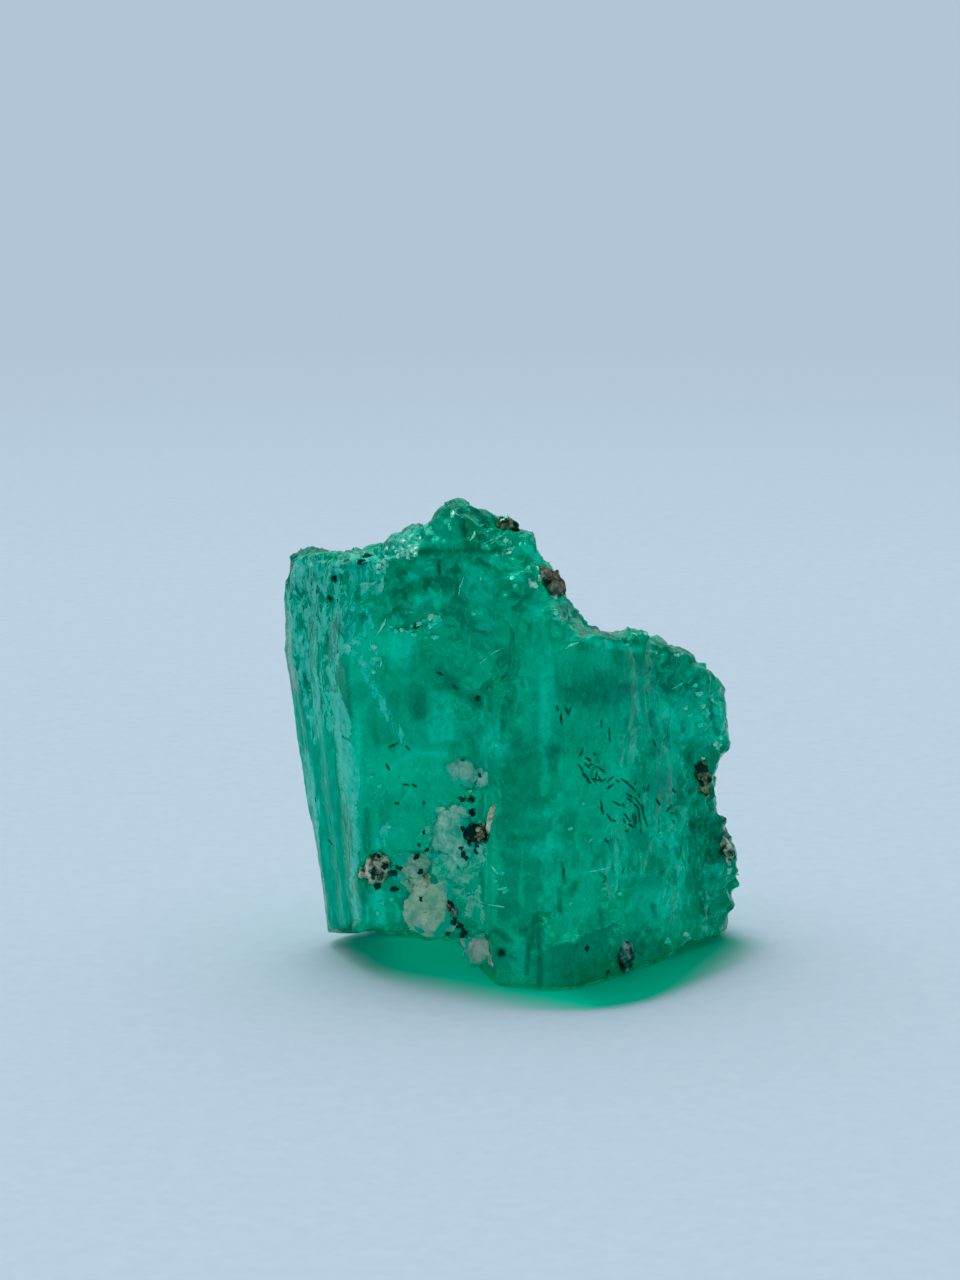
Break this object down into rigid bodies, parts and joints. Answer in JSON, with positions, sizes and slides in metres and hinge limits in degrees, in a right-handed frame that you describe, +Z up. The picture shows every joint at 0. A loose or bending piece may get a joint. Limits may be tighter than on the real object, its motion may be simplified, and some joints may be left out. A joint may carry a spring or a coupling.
{
  "type": "raw emerald crystal",
  "caption": "Rough green beryl crystal: a broken six-sided prism with striated faces, a stepped broken top and scraps of host rock set in its front.",
  "frame": {"origin": "centre of the bounding box's underside, on the plane that the crystal rests on", "axes": "+Z up and roughly along the prism's length, +X to the right and +Y to the back as seen from the front with the host rock scraps"},
  "size_m": [0.01, 0.0076, 0.0102],
  "materials": {
    "emerald": "natural crystal faces and broken surfaces, cloudy see-through green",
    "sage": "matt greenish grey crust",
    "tan": "matt tan crust",
    "pink": "matt pinkish grey crust",
    "grey": "matt grey grain",
    "brown": "matt brown grain",
    "dark": "dull dark brown grain",
    "gold": "dull golden brown grain"
  },
  "bodies": {
    "root": {"emerald_crystal": "emerald", "crust_sage_upper": "sage", "crust_sage_lower": "sage", "crust_tan_left": "tan", "crust_pink_foot": "pink", "crust_grey_centre": "grey", "grain_brown_left": "brown", "grain_dark_centre": "dark", "grain_grey_foot": "grey", "grain_gold_top": "gold", "grain_brown_shoulder": "brown", "grain_green_right": "gold", "grain_brown_right": "brown"}
  },
  "joints": []
}
